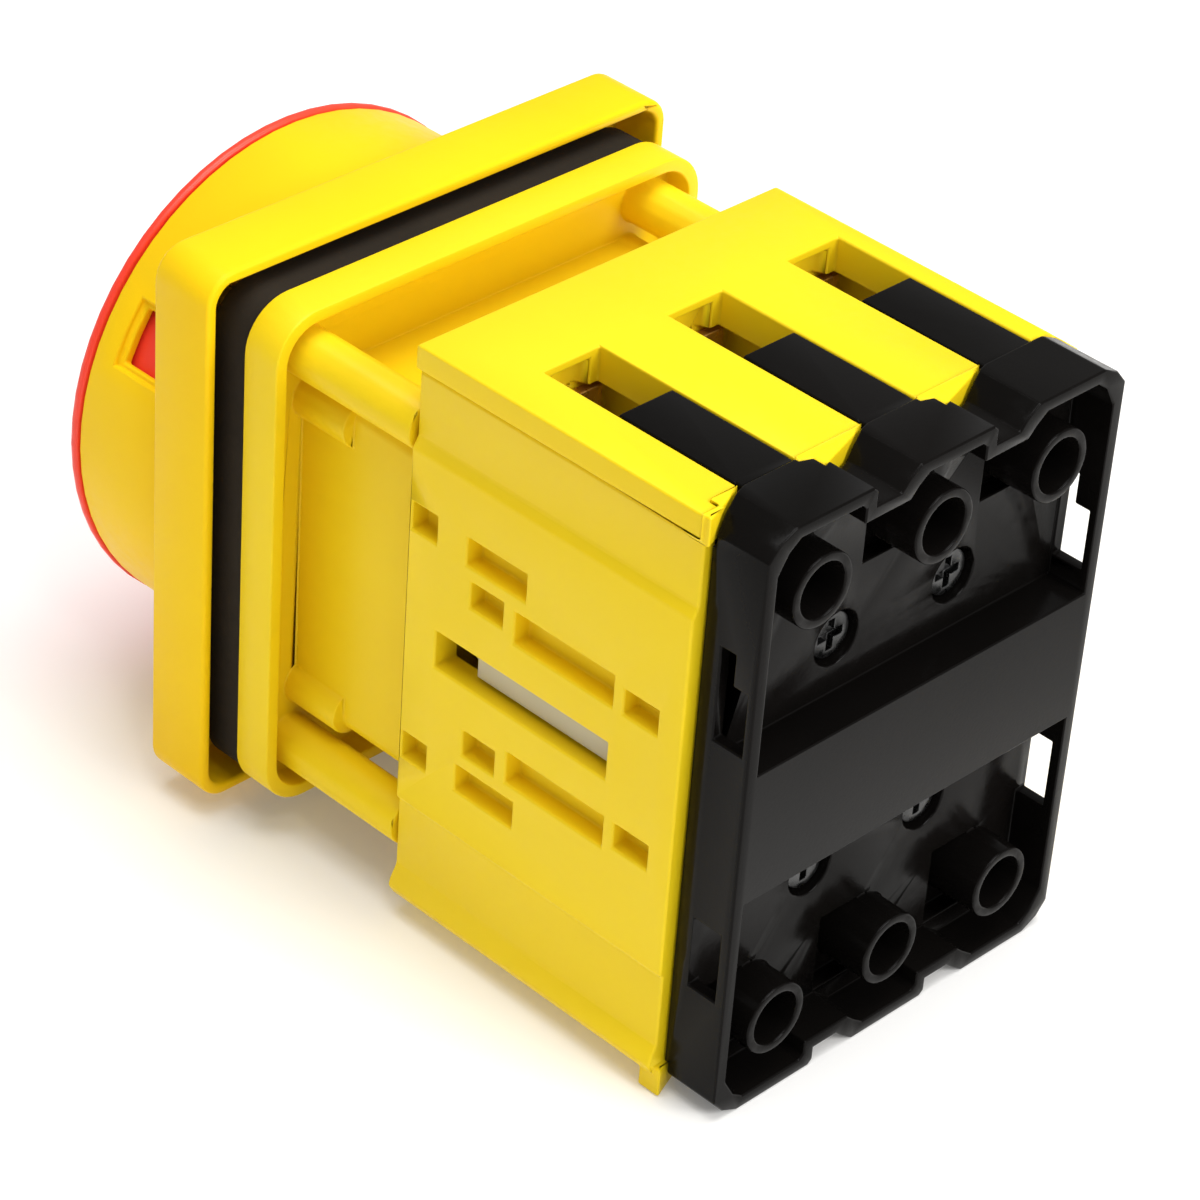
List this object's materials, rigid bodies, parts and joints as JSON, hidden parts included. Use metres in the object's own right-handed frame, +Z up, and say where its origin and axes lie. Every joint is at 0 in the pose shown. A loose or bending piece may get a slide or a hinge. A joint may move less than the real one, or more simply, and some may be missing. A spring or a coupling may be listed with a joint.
{
  "type": "rotary isolator switch",
  "caption": "Panel-mounted rotary isolator: square front plate, padlock collar, turning handle, screw-post flange, contact block with wire slots and side window, and rear terminal cover",
  "frame": {"origin": "centre of the bounding box in X and Y, on the plane where the contact block and the terminal cover rest", "axes": "+Z up with the handle lying sideways, +Y runs from the handle towards the rear terminal cover along the turning axis, +X to the side with the visible coupling face"},
  "size_m": [0.064, 0.102, 0.069],
  "materials": {
    "amber": "satin moulded amber-yellow thermoplastic",
    "yellow": "satin moulded yellow thermoplastic",
    "black": "black moulded thermoplastic, slightly glossy",
    "red": "red moulded thermoplastic, slightly glossy",
    "rubber": "dark matt sealing rubber",
    "grey": "light grey moulded plastic",
    "steel": "zinc-plated steel",
    "plated_steel": "nickel-plated steel screw",
    "brass": "stamped brass"
  },
  "bodies": {
    "switch_body": {"front_plate": "amber", "lock_collar": "amber", "shaft_seal": "rubber", "panel_gasket": "rubber", "mounting_flange": "yellow", "contact_block_body": "yellow", "terminal_cover": "black", "fixed_contact_upper_1": "brass", "fixed_contact_upper_2": "brass", "fixed_contact_upper_3": "brass", "fixed_contact_lower_1": "brass", "fixed_contact_lower_2": "brass", "fixed_contact_lower_3": "brass", "panel_screw_1": "steel", "panel_screw_2": "steel", "panel_screw_3": "steel", "panel_screw_4": "steel", "stack_screw_1": "steel", "stack_screw_2": "steel", "stack_screw_3": "steel", "stack_screw_4": "steel", "detent_spring_upper": "steel", "detent_spring_lower": "steel"},
    "handle": {"rotary_handle": "red", "handle_screw": "steel", "drive_shaft": "steel", "detent_rotor": "grey"},
    "padlock_slider": {"lock_slider": "red"},
    "moving_contacts": {"contact_carriage": "grey", "drive_pin": "steel", "contact_bridge_1": "brass", "contact_bridge_2": "brass", "contact_bridge_3": "brass", "contact_spring_1": "steel", "contact_spring_2": "steel", "contact_spring_3": "steel"},
    "detent_upper": {"detent_plunger_upper": "steel"},
    "detent_lower": {"detent_plunger_lower": "steel"},
    "terminal_upper_1": {"terminal_screw_upper_1": "plated_steel", "terminal_clamp_upper_1": "steel"},
    "terminal_upper_2": {"terminal_screw_upper_2": "plated_steel", "terminal_clamp_upper_2": "steel"},
    "terminal_upper_3": {"terminal_screw_upper_3": "plated_steel", "terminal_clamp_upper_3": "steel"},
    "terminal_lower_1": {"terminal_screw_lower_1": "plated_steel", "terminal_clamp_lower_1": "steel"},
    "terminal_lower_2": {"terminal_screw_lower_2": "plated_steel", "terminal_clamp_lower_2": "steel"},
    "terminal_lower_3": {"terminal_screw_lower_3": "plated_steel", "terminal_clamp_lower_3": "steel"}
  },
  "joints": [
    {"name": "handle_turn", "type": "hinge", "parent": "switch_body", "child": "handle", "pos_m": [0, -0.01815, 0.0344], "axis": [0, 1, 0], "range_deg": [0, 90]},
    {"name": "contact_travel", "type": "slide", "parent": "switch_body", "child": "moving_contacts", "axis": [0, -1, 0], "range_m": [0, 0.0041]},
    {"name": "slider_pull", "type": "slide", "parent": "handle", "child": "padlock_slider", "axis": [1, 0, 0], "range_m": [0, 0.006]},
    {"name": "detent_upper_press", "type": "slide", "parent": "switch_body", "child": "detent_upper", "axis": [0, 0, 1], "range_m": [0, 0.0012], "stiffness_N_per_m": 400, "deforming": ["detent_spring_upper"]},
    {"name": "detent_lower_press", "type": "slide", "parent": "switch_body", "child": "detent_lower", "axis": [0, 0, -1], "range_m": [0, 0.0012], "stiffness_N_per_m": 400, "deforming": ["detent_spring_lower"]},
    {"name": "terminal_upper_1_open", "type": "slide", "parent": "switch_body", "child": "terminal_upper_1", "axis": [0, 1, 0], "range_m": [0, 0.002]},
    {"name": "terminal_upper_2_open", "type": "slide", "parent": "switch_body", "child": "terminal_upper_2", "axis": [0, 1, 0], "range_m": [0, 0.002]},
    {"name": "terminal_upper_3_open", "type": "slide", "parent": "switch_body", "child": "terminal_upper_3", "axis": [0, 1, 0], "range_m": [0, 0.002]},
    {"name": "terminal_lower_1_open", "type": "slide", "parent": "switch_body", "child": "terminal_lower_1", "axis": [0, 1, 0], "range_m": [0, 0.002]},
    {"name": "terminal_lower_2_open", "type": "slide", "parent": "switch_body", "child": "terminal_lower_2", "axis": [0, 1, 0], "range_m": [0, 0.002]},
    {"name": "terminal_lower_3_open", "type": "slide", "parent": "switch_body", "child": "terminal_lower_3", "axis": [0, 1, 0], "range_m": [0, 0.002]}
  ],
  "couplings": [
    {"joint": "contact_travel", "follows": "handle_turn", "m_per_rad": 0.0025465}
  ]
}
